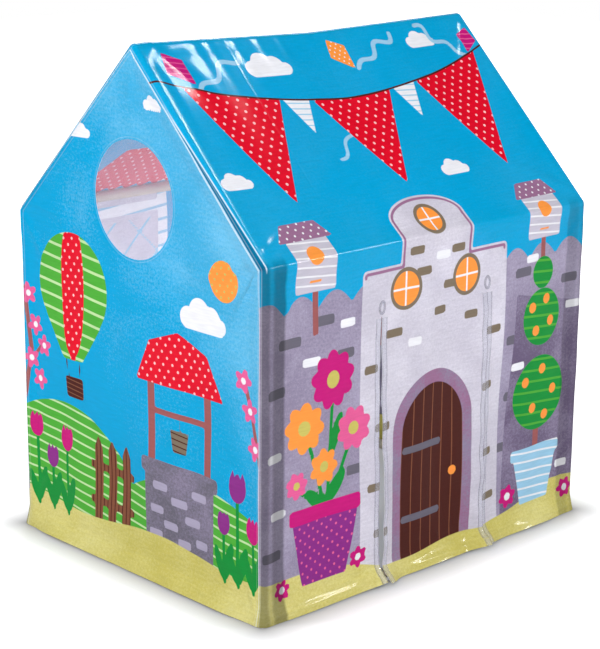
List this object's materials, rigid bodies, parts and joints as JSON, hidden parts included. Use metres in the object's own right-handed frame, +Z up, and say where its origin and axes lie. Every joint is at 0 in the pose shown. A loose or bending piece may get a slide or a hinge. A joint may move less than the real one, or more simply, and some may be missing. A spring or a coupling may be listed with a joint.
{
  "type": "children's play house tent",
  "caption": "Gable-roofed play house: printed vinyl film over a plug-together tube frame, with a lift-up door flap and round windows.",
  "frame": {"origin": "middle of the floor that the house stands on", "axes": "+X along the ridge, -Y out of the door, +Z up"},
  "size_m": [0.972, 0.7827, 1.07],
  "materials": {
    "printed_vinyl": "printed glossy soft vinyl film",
    "window_film": "milky clear soft vinyl film",
    "weld_film": "clear soft vinyl film, welded on",
    "tube_plastic": "extruded plastic tube, satin",
    "joint_plastic": "moulded plastic, satin"
  },
  "bodies": {
    "house": {"back_sheet": "printed_vinyl", "base_corner_back_left": "joint_plastic", "base_corner_back_right": "joint_plastic", "base_corner_front_left": "joint_plastic", "base_corner_front_right": "joint_plastic", "base_coupler_back": "joint_plastic", "base_coupler_front": "joint_plastic", "base_coupler_left": "joint_plastic", "base_coupler_right": "joint_plastic", "base_rail_back_left": "tube_plastic", "base_rail_back_right": "tube_plastic", "base_rail_front_left": "tube_plastic", "base_rail_front_right": "tube_plastic", "base_rail_left_back": "tube_plastic", "base_rail_left_front": "tube_plastic", "base_rail_right_back": "tube_plastic", "base_rail_right_front": "tube_plastic", "eave_corner_back_left": "joint_plastic", "eave_corner_back_right": "joint_plastic", "eave_corner_front_left": "joint_plastic", "eave_corner_front_right": "joint_plastic", "eave_coupler_back": "joint_plastic", "eave_coupler_front": "joint_plastic", "eave_rail_back_left": "tube_plastic", "eave_rail_back_right": "tube_plastic", "eave_rail_front_left": "tube_plastic", "eave_rail_front_right": "tube_plastic", "front_sheet": "printed_vinyl", "gable_sheet_left": "printed_vinyl", "gable_sheet_right": "printed_vinyl", "post_back_left_lower": "tube_plastic", "post_back_left_upper": "tube_plastic", "post_back_right_lower": "tube_plastic", "post_back_right_upper": "tube_plastic", "post_coupler_back_left": "joint_plastic", "post_coupler_back_right": "joint_plastic", "post_coupler_front_left": "joint_plastic", "post_coupler_front_right": "joint_plastic", "post_front_left_lower": "tube_plastic", "post_front_left_upper": "tube_plastic", "post_front_right_lower": "tube_plastic", "post_front_right_upper": "tube_plastic", "rafter_back_left": "tube_plastic", "rafter_back_right": "tube_plastic", "rafter_front_left": "tube_plastic", "rafter_front_right": "tube_plastic", "ridge_corner_left": "joint_plastic", "ridge_corner_right": "joint_plastic", "ridge_coupler": "joint_plastic", "ridge_rail_left": "tube_plastic", "ridge_rail_right": "tube_plastic", "slit_ring_left": "weld_film", "slit_ring_right": "weld_film", "wall_strip_left": "weld_film", "wall_strip_right": "weld_film", "window_pane_left": "window_film", "window_pane_right": "window_film"},
    "door": {"door_flap": "printed_vinyl", "door_strip_left": "weld_film", "door_strip_right": "weld_film"}
  },
  "joints": [
    {"name": "door_lift", "type": "hinge", "parent": "house", "child": "door", "pos_m": [0, -0.3747, 0.555], "axis": [-1, 0, 0], "range_deg": [0, 120]}
  ]
}
